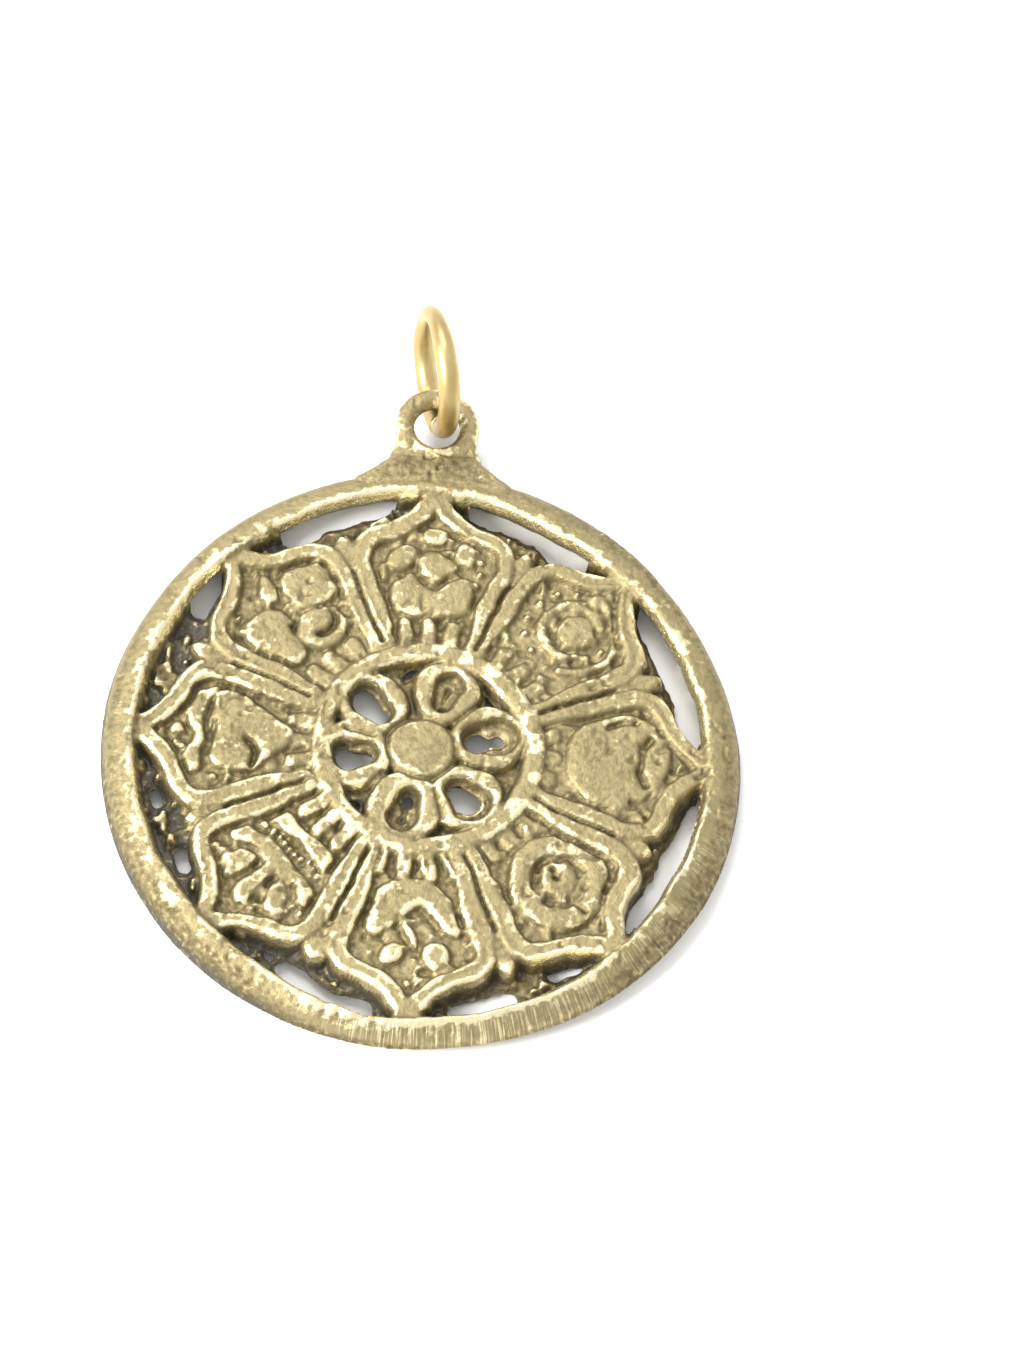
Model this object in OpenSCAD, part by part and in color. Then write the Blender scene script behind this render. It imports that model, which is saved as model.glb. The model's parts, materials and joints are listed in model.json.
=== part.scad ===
// Round openwork pendant: one brass casting with a wire jump ring in its lug.
// Millimetres. The back lies flat on the plane z = 0, +Z is the decorated face,
// +Y runs from the disc's centre to the lug, and the origin is the centre of the back.

/* [Disc] */
// Outer diameter of the disc
disc_d = 46; // [44:1:50]
// Height of the rim's crest above the back
rim_h = 3.4; // [3.2:0.1:4]
// Width of the rim seen from the front
rim_w = 2.7; // [2.4:0.1:3]
// Outer radius of the hub ring
hub_r = 8.2; // [7.8:0.1:8.6]
// Width of the hub ring
hub_w = 1.2; // [1:0.1:1.5]

/* [Petals] */
// Thickness of a petal's sunk field
field_h = 1.8; // [1.4:0.1:2.2]
// Height of a petal's raised edge above the back
edge_h = 2.9; // [2.6:0.1:3.2]
// Width of a petal's raised edge
edge_w = 1; // [0.7:0.1:1.2]
// Height of the ribs at a petal's foot above the back
rib_h = 2.5; // [2.2:0.1:2.8]
// Height of the leaf tips that show between the petals
leaf_h = 2.2; // [1.8:0.1:2.6]

/* [Lug] */
// Sideways place of the lug's hole
lug_x = -0.3; // [-0.5:0.1:0.5]
// Distance of the lug's hole from the disc's centre
lug_y = 26.3; // [26:0.1:26.8]
// Height of the lug's middle plane above the back
lug_z = 2.65; // [2.6:0.05:2.7]
// Radius of the lug's hole
hole_r = 1.7; // [1.7:0.05:1.8]
// Thickness of the lug's round eye
eye_d = 1.4; // [1.3:0.05:1.4]

/* [Jump ring] */
// Diameter of the wire
wire_d = 1.6; // [1.5:0.1:1.6]
// Outer diameter of the ring
ring_d = 10; // [9.8:0.1:10.2]
// Angle that the ring leans to the left of +Y
ring_lean = 12.5; // [10:0.5:14]
// Angle that the ring rises from the lug
ring_rise = 34.5; // [34.5:0.5:35.5]
// Turn of the ring about its own reach, away from upright
ring_turn = 3; // [0:1:4]
// Sideways place of the wire in the hole
wire_offset = 0.4; // [0.2:0.1:0.5]
// Open angle of the ring's sawn joint
seam_angle = 2; // [1:1:4]

/* [Hidden] */
$fn = 64;

casting_brass = [0.76, 0.68, 0.46];
ring_brass = [0.95, 0.88, 0.62];

petal_count = 8;
petal_step = 360 / petal_count;
half_step = petal_step / 2;
// a cut that passes through everything
through = 20;
// how far a petal's outline runs under the hub ring and the rim before it is cut to them
foot_lap = 0.1;
rim_lap = 0.2;

disc_r = disc_d / 2;
rim_in = disc_r - rim_w;
rim_round = rim_w / 2;
hub_in = hub_r - hub_w;
eye_r = hole_r + eye_d / 2;
lug_out = hole_r + eye_d;
rib_long = 2.2;
rib_w = 0.6;
rib_step = 7;
// nearest that an emblem comes to the centre, just past the ribs
emblem_in = hub_r + rib_long + 0.1;
emblem_h = edge_h - field_h;
// emblems that are a little lower than the petal's edge
low_h = emblem_h - 0.2;
ring_r = (ring_d - wire_d) / 2;

// One point of a curve that leaves a for c and bends towards b
function bend(a, b, c, t) = (1 - t) * (1 - t) * a + 2 * t * (1 - t) * b + t * t * c;

// Half of a petal's outline, drawn in by g from the outer one, along +X from foot to tip
function half_petal(g) =
    let (foot = hub_r * cos(half_step) - foot_lap + 2 * g,
         waist = [13.3, 13.3 * tan(half_step) - g],
         bulge = [16.8 - 0.75 * g, 6.9 - 1.25 * g],
         neck = [17.6 - 0.95 * g, 4 - 0.4 * g],
         sweep = [18.15 - 0.9 * g, 2 - 0.5 * g],
         tip = [rim_in + rim_lap - 1.8 * g, g > 0 ? 0.05 : 0.55])
    concat([[foot, foot * tan(half_step) - g]],
           [for (i = [0 : 6]) bend(waist, bulge, neck, i / 6)],
           [for (i = [1 : 6]) bend(neck, sweep, tip, i / 6)]);

function mirrored(points) =
    [for (i = [len(points) - 1 : -1 : 0]) [points[i][0], -points[i][1]]];

module petal_outline(g = 0) {
    half = half_petal(g);
    polygon(concat(half, mirrored(half)));
}

// Places its children on one petal: number 0 points to +Y and the numbers run clockwise
module on_petal(number) {
    rotate(90 - petal_step * number) children();
}

// Keeps what stands above a petal's field
module above_field() {
    intersection() {
        children();
        translate([0, -disc_r, field_h]) cube([disc_r, disc_d, emblem_h]);
    }
}

module flat_ring(r, w, h) {
    difference() {
        cylinder(r = r, h = h);
        translate([0, 0, -1]) cylinder(r = r - w, h = h + 2);
    }
}

module rim() {
    foot = 0.7;
    color(casting_brass)
    rotate_extrude()
    union() {
        translate([disc_r - rim_round, rim_h - rim_round]) circle(r = rim_round);
        polygon([[rim_in, 0], [disc_r - foot, 0], [disc_r, foot],
                 [disc_r, rim_h - rim_round], [rim_in, rim_h - rim_round]]);
    }
}

module hanging_lug() {
    flare = 4.6;
    flare_up = 0.7;
    neck_bottom = 1.1;
    neck_h = 2.0;
    neck_half = lug_out - 0.25;
    neck_top = lug_y - 1.6;
    color(casting_brass)
    difference() {
        union() {
            translate([lug_x, lug_y, lug_z])
                rotate_extrude() translate([eye_r, 0]) circle(r = eye_d / 2);
            translate([lug_x, 0, neck_bottom])
                linear_extrude(neck_h)
                polygon([[-flare, disc_r - 1], [flare, disc_r - 1],
                         [lug_out, disc_r + flare_up], [neck_half, neck_top],
                         [-neck_half, neck_top], [-lug_out, disc_r + flare_up]]);
        }
        translate([0, 0, -1]) cylinder(r = disc_r, h = through);
        translate([lug_x, lug_y, -1]) cylinder(r = hole_r, h = through);
    }
}

module hub_ring() {
    round_r = hub_w / 2;
    color(casting_brass)
    rotate_extrude()
    union() {
        translate([hub_r - round_r, edge_h - round_r]) circle(r = round_r);
        translate([hub_in, 0]) square([hub_w, edge_h - round_r]);
    }
}

module centre_rosette() {
    loops = 6;
    loop_at = 4.75;
    loop_r = 2.45;
    loop_hole = 1.35;
    loop_h = 2.6;
    boss_r = 2.7;
    cone_r = 1.9;
    cone_top = 1.1;
    color(casting_brass)
    difference() {
        intersection() {
            union() {
                cylinder(r = boss_r, h = loop_h);
                for (i = [1 : loops])
                    rotate(i * 360 / loops) translate([loop_at, 0]) cylinder(r = loop_r, h = loop_h);
                translate([0, 0, loop_h]) cylinder(r1 = cone_r, r2 = cone_top, h = rim_h - loop_h);
            }
            cylinder(r = hub_in, h = through);
        }
        for (i = [1 : loops])
            rotate(i * 360 / loops) translate([loop_at, 0, -1]) cylinder(r = loop_hole, h = through);
    }
}

module petal(number) {
    color(casting_brass)
    on_petal(number)
    difference() {
        intersection() {
            union() {
                linear_extrude(edge_h)
                difference() {
                    petal_outline();
                    petal_outline(edge_w);
                }
                linear_extrude(field_h) petal_outline(edge_w);
                for (side = [-1.5 : 1 : 1.5])
                    rotate(side * rib_step) translate([hub_r, -rib_w / 2]) cube([rib_long, rib_w, rib_h]);
            }
            cylinder(r = rim_in, h = through);
        }
        translate([0, 0, -1]) cylinder(r = hub_r, h = through);
    }
}

module leaf_tips() {
    leaf_at = 14.2;
    leaf_r = 2.6;
    color(casting_brass)
    for (i = [0 : petal_count - 1])
        rotate(half_step + i * petal_step)
        difference() {
            translate([leaf_at, 0]) cylinder(r = leaf_r, h = leaf_h);
            for (side = [-1, 1])
                rotate(side * half_step)
                translate([0, 0, -1]) linear_extrude(through) petal_outline();
        }
}

// Petal 0: a bowl heaped with round fruits
module basket_relief() {
    bowl_at = 11.2;
    bowl_r = 2.7;
    bowl_long = 1.9;
    fruit_r = 1.05;
    top_fruit_r = 0.8;
    color(casting_brass)
    on_petal(0) above_field() union() {
        translate([bowl_at, 0]) intersection() {
            cylinder(r = bowl_r, h = through);
            translate([0, -bowl_r, 0]) cube([bowl_long, 2 * bowl_r, through]);
        }
        translate([14.3, 0, field_h]) sphere(r = fruit_r);
        for (side = [-1, 1])
            translate([13.9, side * 2, field_h]) sphere(r = fruit_r);
        translate([15.9, 0, field_h]) sphere(r = top_fruit_r);
    }
}

// Petal 1: a coiled ring
module coil_relief() {
    coil_at = 14;
    coil_r = 2.7;
    coil_w = 0.8;
    core_r = 1;
    color(casting_brass)
    on_petal(1) translate([coil_at, 0, field_h]) union() {
        flat_ring(coil_r, coil_w, emblem_h);
        cylinder(r = core_r, h = low_h);
    }
}

// Petal 2: a low dome inside a ring
module dome_relief() {
    dome_at = 14.1;
    dome_r = 2.9;
    dome_sunk = 2;
    loop_r = 3;
    loop_w = 0.6;
    color(casting_brass)
    on_petal(2) above_field() union() {
        translate([dome_at, 0]) flat_ring(loop_r, loop_w, field_h + low_h);
        translate([dome_at, 0, field_h - dome_sunk]) sphere(r = dome_r);
    }
}

// Petal 3: a wheel of two rings
module wheel_relief() {
    outer_r = 3.1;
    outer_w = 0.8;
    inner_r = 1.8;
    inner_w = 0.6;
    spoke_from = inner_r - inner_w / 2;
    spoke_long = 1.2;
    hub = 0.6;
    color(casting_brass)
    on_petal(3) translate([emblem_in + outer_r, 0, field_h]) union() {
        flat_ring(outer_r, outer_w, emblem_h);
        flat_ring(inner_r, inner_w, emblem_h);
        for (i = [0 : 3])
            rotate(i * 90) translate([spoke_from, -inner_w / 2]) cube([spoke_long, inner_w, low_h]);
        cylinder(r = hub, h = emblem_h);
    }
}

// Petal 4: a round vase with a collar of beads
module vase_relief() {
    vase_at = 12.85;
    vase_r = 2.9;
    vase_sunk = 1.8;
    bead_at = 15.3;
    bead_step = 1.7;
    bead_r = 0.85;
    color(casting_brass)
    on_petal(4) above_field() union() {
        translate([vase_at, 0, field_h - vase_sunk]) sphere(r = vase_r);
        for (side = [-1 : 1])
            translate([bead_at + (1 - abs(side)) / 2, side * bead_step, field_h]) sphere(r = bead_r);
    }
}

// Petal 5: a fan of bars that spread from one side
module fan_relief() {
    bars = 4;
    bar_from = 1.2;
    bar_long = 4.2;
    bar_w = 0.9;
    bar_step = 22;
    fan_r = 1.6;
    color(casting_brass)
    on_petal(5) translate([emblem_in, 0, field_h]) union() {
        for (i = [0 : bars - 1])
            rotate((i - (bars - 1) / 2) * bar_step)
            translate([bar_from, -bar_w / 2]) cube([bar_long, bar_w, emblem_h]);
        intersection() {
            cylinder(r = fan_r, h = emblem_h);
            translate([0, -fan_r, 0]) cube([fan_r, 2 * fan_r, emblem_h]);
        }
    }
}

// Petal 6: a round shell with a small ring at its narrow end
module shell_relief() {
    shell_at = 12.8;
    shell_r = 3;
    shell_sunk = 2;
    loop_at = 16.1;
    loop_r = 1;
    loop_w = 0.45;
    color(casting_brass)
    on_petal(6) above_field() union() {
        translate([shell_at, 0, field_h - shell_sunk]) sphere(r = shell_r);
        translate([loop_at, 0]) flat_ring(loop_r, loop_w, edge_h);
    }
}

// Petal 7: three round lobes
module trefoil_relief() {
    lobes = 3;
    lobes_at = 13.6;
    lobe_out = 1.6;
    lobe_r = 1.55;
    lobe_w = 0.75;
    color(casting_brass)
    on_petal(7) translate([lobes_at, 0, field_h]) union() {
        for (i = [1 : lobes])
            rotate(i * 360 / lobes) translate([lobe_out, 0]) flat_ring(lobe_r, lobe_w, emblem_h);
    }
}

module jump_ring() {
    normal_x = cos(ring_lean);
    normal_y = sin(ring_lean);
    seam_at = 40;
    color(ring_brass)
    translate([lug_x + wire_offset * normal_x, lug_y + wire_offset * normal_y, lug_z])
        rotate([0, 0, ring_lean])
        rotate([ring_rise, 0, 0])
        rotate([0, ring_turn, 0])
        translate([0, ring_r, 0])
        rotate([0, 90, 0])
        rotate(seam_at)
        rotate_extrude(angle = 360 - seam_angle)
        translate([ring_r, 0])
        circle(r = wire_d / 2);
}

rim();
hanging_lug();
hub_ring();
centre_rosette();
petal(0);  // petal_top
petal(1);  // petal_upper_right
petal(2);  // petal_right
petal(3);  // petal_lower_right
petal(4);  // petal_bottom
petal(5);  // petal_lower_left
petal(6);  // petal_left
petal(7);  // petal_upper_left
basket_relief();
coil_relief();
dome_relief();
wheel_relief();
vase_relief();
fan_relief();
shell_relief();
trefoil_relief();
leaf_tips();
jump_ring();
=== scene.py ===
"""Round openwork brass pendant: one casting cut as a relief, and a wire jump ring in its lug."""

import json
import math

import bpy
import numpy as np
from mathutils import Matrix, Vector


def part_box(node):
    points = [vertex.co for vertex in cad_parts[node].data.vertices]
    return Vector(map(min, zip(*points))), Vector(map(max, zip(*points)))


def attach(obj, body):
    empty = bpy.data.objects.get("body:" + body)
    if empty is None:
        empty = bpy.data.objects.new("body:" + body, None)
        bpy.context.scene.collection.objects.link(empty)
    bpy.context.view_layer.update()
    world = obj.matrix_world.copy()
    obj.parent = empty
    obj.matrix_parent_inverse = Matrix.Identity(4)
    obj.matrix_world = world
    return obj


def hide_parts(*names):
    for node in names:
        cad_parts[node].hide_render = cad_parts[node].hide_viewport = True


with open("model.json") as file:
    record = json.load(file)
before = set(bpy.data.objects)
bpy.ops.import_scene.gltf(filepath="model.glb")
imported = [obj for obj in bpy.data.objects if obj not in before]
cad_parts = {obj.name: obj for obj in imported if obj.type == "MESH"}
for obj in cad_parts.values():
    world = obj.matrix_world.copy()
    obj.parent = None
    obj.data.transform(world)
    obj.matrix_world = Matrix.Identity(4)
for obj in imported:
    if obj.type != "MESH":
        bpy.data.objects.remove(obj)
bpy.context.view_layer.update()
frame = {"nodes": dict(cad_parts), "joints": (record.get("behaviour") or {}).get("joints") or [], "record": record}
MM = 0.001

# ---------------------------------------------------------------- driving sizes, from the frame

rim_low, rim_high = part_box("rim")
lug_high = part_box("hanging_lug")[1]
swing = frame["joints"][0]
DISC_R = (rim_high.x - rim_low.x) / 2
# The relief is drawn in twentieths of the disc's radius, and heights are in the same units
DISC = 20
UNIT = DISC_R / DISC
RIM_TOP = rim_high.z / UNIT
HOLE_X, HOLE_Y, HOLE_Z = (c / UNIT for c in swing["pos_m"])
LUG_TOP = lug_high.z / UNIT
LUG_HALF = LUG_TOP - HOLE_Z
LUG_OUT = lug_high.y / UNIT - HOLE_Y
HOLE_R = LUG_OUT - 2 * LUG_HALF

GRID_STEP = 0.105
# Heights: what an opening counts as, a petal's field, its raised edge, and the hub ring's crest
FLOOR_Z = 0.8
FIELD_Z = 1.85
EDGE_Z = 2.5
HUB_Z = 2.55
PETALS = 8
PETAL_STEP = 360 / PETALS
# The hub ring's outer side, and the radius inside which the rosette's metal holds
HUB_OUT = 7.7
ROSETTE_R = 6.6
# Farther along y than this the surface belongs to the lug
NECK_Y = 20.5


# ---------------------------------------------------------------- small maths

def smooth(low, high, value):
    """0 below low, 1 above high, with a soft S between."""
    t = np.clip((value - low) / (high - low), 0, 1)
    return t * t * (3 - 2 * t)


def bell(offset, half_width):
    """1 on a line, falling softly to 0 at half_width from it."""
    return smooth(0, 1, 1 - np.abs(offset) / half_width)


def soft_max(a, b, k):
    """The larger of two heights, with a fillet of size k where they cross."""
    h = np.clip(0.5 + 0.5 * (a - b) / k, 0, 1)
    return b + (a - b) * h + k * h * (1 - h)


def soft_min(a, b, k):
    return -soft_max(-a, -b, k)


def noise(x, y, size, seed):
    """Smooth seeded noise from -1 to 1 with features about size across."""
    period = 128
    cells = np.random.default_rng(seed).uniform(-1, 1, (period, period))
    u, v = x / size + 37.3, y / size + 51.7
    i, j = np.floor(u).astype(int), np.floor(v).astype(int)
    fu, fv = u - i, v - j
    fu, fv = fu * fu * (3 - 2 * fu), fv * fv * (3 - 2 * fv)
    i0, i1, j0, j1 = i % period, (i + 1) % period, j % period, (j + 1) % period
    near = cells[i0, j0] * (1 - fu) + cells[i1, j0] * fu
    far = cells[i0, j1] * (1 - fu) + cells[i1, j1] * fu
    return near * (1 - fv) + far * fv


def rough(x, y, size, seed, octaves=3):
    """Layers of noise, each half as large and half as strong as the one before."""
    total = sum(noise(x, y, size / 2**n, seed + n) / 2**n for n in range(octaves))
    return total / (2 - 0.5 ** (octaves - 1))


def blurred(field, sigma):
    """A Gaussian blur over the grid, sigma in units."""
    rows, columns = field.shape
    pad = int(4 * sigma / GRID_STEP) + 1
    padded = np.pad(field, pad, mode="edge")
    fy = np.fft.fftfreq(padded.shape[0])[:, None]
    fx = np.fft.fftfreq(padded.shape[1])[None, :]
    spread = np.exp(-2 * (math.pi * sigma / GRID_STEP) ** 2 * (fx**2 + fy**2))
    return np.fft.ifft2(np.fft.fft2(padded) * spread).real[pad : pad + rows, pad : pad + columns]


def bend(a, b, c, count):
    """Points of a curve that leaves a for c and bends towards b."""
    t = np.linspace(0, 1, count)[:, None]
    return (1 - t) ** 2 * np.array(a) + 2 * t * (1 - t) * np.array(b) + t**2 * np.array(c)


def around(degrees, stops):
    """A value that runs smoothly round the disc through its (degrees, value) stops."""
    angles = np.array([angle for angle, _ in stops] + [stops[0][0] + 360])
    values = np.array([value for _, value in stops] + [stops[0][1]])
    turn = (degrees - angles[0]) % 360 + angles[0]
    k = np.clip(np.searchsorted(angles, turn, side="right") - 1, 0, len(stops) - 1)
    share = (turn - angles[k]) / (angles[k + 1] - angles[k])
    return values[k] + (values[k + 1] - values[k]) * share**2 * (3 - 2 * share)


# Signed distances: how far inside a shape each point lies, negative outside it.

def stroke(x, y, points, start_width, end_width=None):
    """A line of straight stretches with round ends, as wide as given at its start and its end."""
    end_width = start_width if end_width is None else end_width
    best = np.full(x.shape, -1e9)
    stretches = len(points) - 1
    for k in range(stretches):
        (x0, y0), (x1, y1) = points[k], points[k + 1]
        dx, dy = x1 - x0, y1 - y0
        t = np.clip(((x - x0) * dx + (y - y0) * dy) / (dx * dx + dy * dy), 0, 1)
        width = start_width + (end_width - start_width) * (k + t) / stretches
        best = np.maximum(best, width - np.hypot(x - x0 - t * dx, y - y0 - t * dy))
    return best


def disc(x, y, at_x, at_y, radius):
    return radius - np.hypot(x - at_x, y - at_y)


def band(x, y, at_x, at_y, radius, half_width):
    return half_width - np.abs(radius - np.hypot(x - at_x, y - at_y))


def arc(x, y, at_x, at_y, radius, start, end, half_width):
    """Part of a ring; angles in degrees."""
    turn = np.radians(np.linspace(start, end, 12))
    points = np.stack([at_x + radius * np.cos(turn), at_y + radius * np.sin(turn)], 1)
    return stroke(x, y, points, half_width)


def blob(x, y, corners):
    """A closed shape whose outline bends round each of its corners."""
    ring = np.array(corners, float)
    before, after = (ring + np.roll(ring, 1, 0)) / 2, (ring + np.roll(ring, -1, 0)) / 2
    outline = np.concatenate([bend(*three, 5)[:-1] for three in zip(before, ring, after, strict=True)])
    away = stroke(x, y, np.vstack([outline, outline[:1]]), 0)
    inside = np.zeros(x.shape, bool)
    for (x0, y0), (x1, y1) in zip(outline, np.roll(outline, -1, 0), strict=True):
        if y0 != y1:
            inside ^= ((y0 > y) != (y1 > y)) & (x < x0 + (x1 - x0) * (y - y0) / (y1 - y0))
    return np.where(inside, -away, away)


def beads(x, y, at_x, at_y, radius, start, end, count, size):
    """Round beads along part of a ring; angles in degrees."""
    turn = np.radians(np.linspace(start, end, count))
    places = [(at_x + radius * np.cos(t), at_y + radius * np.sin(t)) for t in turn]
    return together(*(disc(x, y, bead_x, bead_y, size) for bead_x, bead_y in places))


def together(*shapes):
    return np.maximum.reduce(shapes)


def cut(shape, *cutters):
    return np.minimum.reduce([shape, *(-cutter for cutter in cutters)])


# ---------------------------------------------------------------- the emblems on the petals
# Each gives the signed distance of its raised shapes, with a along the petal, away from the
# hub, and b across it.

def basket_emblem(a, b):
    """A wide bowl with a wavy brim, heaped with fruits."""
    bowl = blob(a, b, [(11.4, 2.6), (9.5, 2.5), (9.1, 1.4), (9.2, -1.4), (9.6, -2.6), (11.4, -3.0),
                       (12.4, -2.3), (11.9, -1.3), (10.9, -0.3), (11.8, 0.6), (12.6, 1.3), (11.7, 1.8)])
    middle = blob(a, b, [(14.0, 0.7), (13.6, -1.0), (12.9, -2.0), (12.2, -1.2), (11.5, -0.3), (12.3, 0.7),
                         (13.1, 0.9)])
    fruits = [
        blob(a, b, [(14.4, 2.3), (14.4, 1.1), (13.2, 0.9), (12.4, 1.5), (12.5, 2.7), (13.3, 3.0)]),
        blob(a, b, [(15.7, 0.4), (15.5, -0.9), (14.3, -0.8), (14.2, 0.5), (14.9, 0.9)]),
        blob(a, b, [(14.8, -1.5), (14.6, -2.6), (13.4, -2.8), (12.8, -2.3), (13.5, -1.2)]),
    ]
    return together(bowl, middle, *fruits, beads(a, b, 12.8, -0.2, 2.9, -110, -60, 4, 0.2))


def coil_emblem(a, b):
    """A coil round a flat core, with beads along one side."""
    core = disc(a, b, 12.7, -0.15, 1.2)
    ring = arc(a, b, 12.55, 0.05, 1.88, -30, 215, 0.36)
    outer = arc(a, b, 12.6, -0.1, 2.85, -150, 25, 0.32)
    return together(core, ring, outer, beads(a, b, 12.5, 0, 2.85, 40, 165, 6, 0.23))


def dome_emblem(a, b):
    """A broad dome with three curved creases and a small cap."""
    smile = stroke(a, b, bend((14.0, 1.7), (12.9, 0.2), (13.9, -1.5), 7), 0.15)
    side = stroke(a, b, bend((13.2, 2.8), (12.2, 2.9), (11.6, 2.2), 5), 0.15)
    fold = stroke(a, b, bend((14.4, -2.0), (14.0, -2.9), (13.0, -2.7), 5), 0.13)
    cap = blob(a, b, [(16.5, 0.6), (16.5, -0.6), (15.8, -1.2), (15.7, 1.2)])
    return together(cut(disc(a, b, 12.1, 0.2, 3.3), smile, side, fold), cap)


def wheel_emblem(a, b):
    """A broad flat ring round a pitted core."""
    dots = [disc(a, b, 11.7 + 0.25 * i, 0.35 + 0.3 * j, 0.13) for i, j in ((0, 0), (-1.3, 1), (-0.3, 1.5))]
    notch = stroke(a, b, [(13.5, 0.2), (14.6, 0.1)], 0.08)
    return together(cut(disc(a, b, 12.0, 0.35, 1.2), *dots), cut(band(a, b, 12.1, 0.3, 2.45, 0.72), notch))


def vase_emblem(a, b):
    """A cup with a notched brim and three round blooms over it."""
    cup = blob(a, b, [(13.0, 3.1), (11.2, 3.1), (9.7, 2.1), (8.8, 0.7), (8.9, -0.9), (9.7, -2.4),
                      (11.2, -3.0), (13.2, -2.7), (12.3, -1.2), (11.3, -0.4), (10.6, 0.4), (11.2, 1.1),
                      (12.1, 1.8)])
    bud = blob(a, b, [(13.6, 0.6), (13.1, -0.3), (11.6, -0.8), (12.1, 0.2)])
    crown = beads(a, b, 12.9, 0, 2.9, -50, 55, 8, 0.28)
    return together(cup, bud, disc(a, b, 13.9, 1.6, 0.95), disc(a, b, 13.95, -1.2, 0.75), crown)


def fan_emblem(a, b):
    """A fan of five leaves over a row of beads and a crescent."""
    leaves = [
        blob(a, b, [(11.4, 0.5), (13.5, 0.35), (15.2, 0.9), (15.8, 0.1), (15.1, -0.7), (13.3, -0.5),
                    (11.4, -0.5)]),
        blob(a, b, [(12.1, 0.7), (13.4, 0.9), (14.8, 1.7), (14.5, 2.8), (13.1, 2.5), (12.5, 1.6)]),
        blob(a, b, [(11.7, 0.8), (12.4, 2.1), (13.0, 3.2), (12.0, 3.5), (11.3, 2.8)]),
        blob(a, b, [(12.4, -0.8), (14.4, -0.9), (15.1, -1.7), (14.3, -2.8), (13.1, -2.3), (12.6, -1.6)]),
        blob(a, b, [(11.6, -0.7), (12.5, -1.9), (13.2, -3.1), (12.1, -3.6), (11.3, -2.9)]),
    ]
    foot = blob(a, b, [(12.6, 1.5), (11.3, 2.6), (11.2, 0.2), (11.0, -0.4), (11.3, -2.7), (12.5, -1.6)])
    row = 0.2 - np.hypot(a - 10.65 - 0.1 * np.cos(2.2 * b), ((b / 0.5) % 1 - 0.5) * 0.5)
    crescent = blob(a, b, [(10.4, 2.6), (10.0, 3.0), (9.0, 1.9), (8.9, 0.7), (9.2, -0.6), (8.9, -1.8),
                           (9.5, -3.1), (10.2, -3.0), (10.3, -1.4), (9.9, -0.4), (10.3, 0.9)])
    return together(*leaves, foot, np.minimum(row, 2.8 - np.abs(b)), crescent)


def shell_emblem(a, b):
    """A smooth bell-shaped shell under a drooping crest and a small button."""
    crest = blob(a, b, [(14.7, 2.6), (14.9, 1.4), (14.0, 0.3), (14.9, -0.8), (15.0, -1.9), (14.2, -3.0),
                        (12.6, -3.5), (12.7, -2.7), (13.7, -1.4), (13.4, 0.0), (13.6, 1.4), (13.5, 2.7)])
    body = blob(a, b, [(13.2, 2.3), (13.0, 0.2), (13.2, -1.6), (12.9, -3.1), (11.4, -3.1), (10.2, -2.2),
                       (8.9, -1.2), (7.9, -0.6), (8.2, 0.5), (9.2, 1.2), (10.2, 2.3), (11.6, 2.5)])
    crease = stroke(a, b, bend((10.6, 2.0), (9.9, 0.7), (11.0, 0.2), 6), 0.13)
    button = disc(a, b, 15.3, -0.15, 0.5)
    return together(crest, cut(body, crease), button, arc(a, b, 15.2, -0.1, 1.2, -100, 110, 0.22))


def trefoil_emblem(a, b):
    """Three broad lobes round a dark middle, one of them curled, under a pointed bud."""
    left = blob(a, b, [(13.9, 1.6), (13.4, 0.3), (12.0, 0.1), (10.8, 0.5), (9.2, 1.0), (9.3, 2.6),
                       (11.2, 3.7), (13.3, 3.4)])
    right = blob(a, b, [(15.0, -1.6), (14.2, -0.7), (12.6, -0.4), (11.7, -1.2), (11.4, -2.8), (12.4, -4.0),
                        (14.4, -3.6)])
    curl = stroke(a, b, bend((10.9, -2.2), (9.5, -1.8), (10.1, -0.5), 6), 0.15)
    bud = blob(a, b, [(16.0, -0.7), (14.9, -0.9), (13.7, -0.4), (13.4, 0.3), (14.4, 0.8), (15.1, 0.2)])
    low = cut(disc(a, b, 10.4, -0.85, 1.6), curl)
    left = cut(left, stroke(a, b, [(9.0, 0.75), (11.8, 0.4)], 0.12))
    return together(left, right, low, bud, beads(a, b, 12.6, 0.2, 3.0, 35, 75, 3, 0.25))


EMBLEMS = (
    basket_emblem,
    coil_emblem,
    dome_emblem,
    wheel_emblem,
    vase_emblem,
    fan_emblem,
    shell_emblem,
    trefoil_emblem,
)

# ---------------------------------------------------------------- the openings
# Between the petals and the rim lies thin flash; it is open only along these lines, each given by
# its points, its half width where it starts and its half width where it ends.

OPENINGS = (
    (((14.2, 10.6), (15.5, 8.0), (16.4, 5.4), (17.3, 2.5)), 1.05, 0.75),
    (((2.9, 17.6), (5.0, 17.0), (7.1, 16.1), (9.0, 14.9)), 0.75, 0.95),
    (((-9.0, 15.1), (-7.0, 16.3), (-5.0, 17.1), (-2.8, 17.9)), 1.15, 0.6),
    (((-14.4, 9.2), (-13.3, 11.2)), 0.62, 0.7),
    (((-16.3, -3.8), (-16.1, -4.4)), 0.32, 0.38),
    (((-14.3, -7.9), (-14.0, -8.6)), 0.38, 0.45),
    (((-7.5, -14.9), (-6.2, -15.9), (-4.5, -16.8), (-2.8, -17.3)), 0.55, 0.85),
    (((-8.6, -14.0), (-8.4, -14.1)), 0.2, 0.2),
    (((3.0, -16.7), (4.5, -16.2), (6.0, -15.9)), 0.5, 0.55),
    (((8.9, -13.8), (10.2, -13.2)), 0.45, 0.5),
    (((13.8, -10.2), (15.0, -7.8), (16.2, -5.2), (17.3, -2.7)), 0.72, 0.8),
)


def opening_depth(x, y):
    return together(*(stroke(x, y, points, start, end) for points, start, end in OPENINGS))


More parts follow.
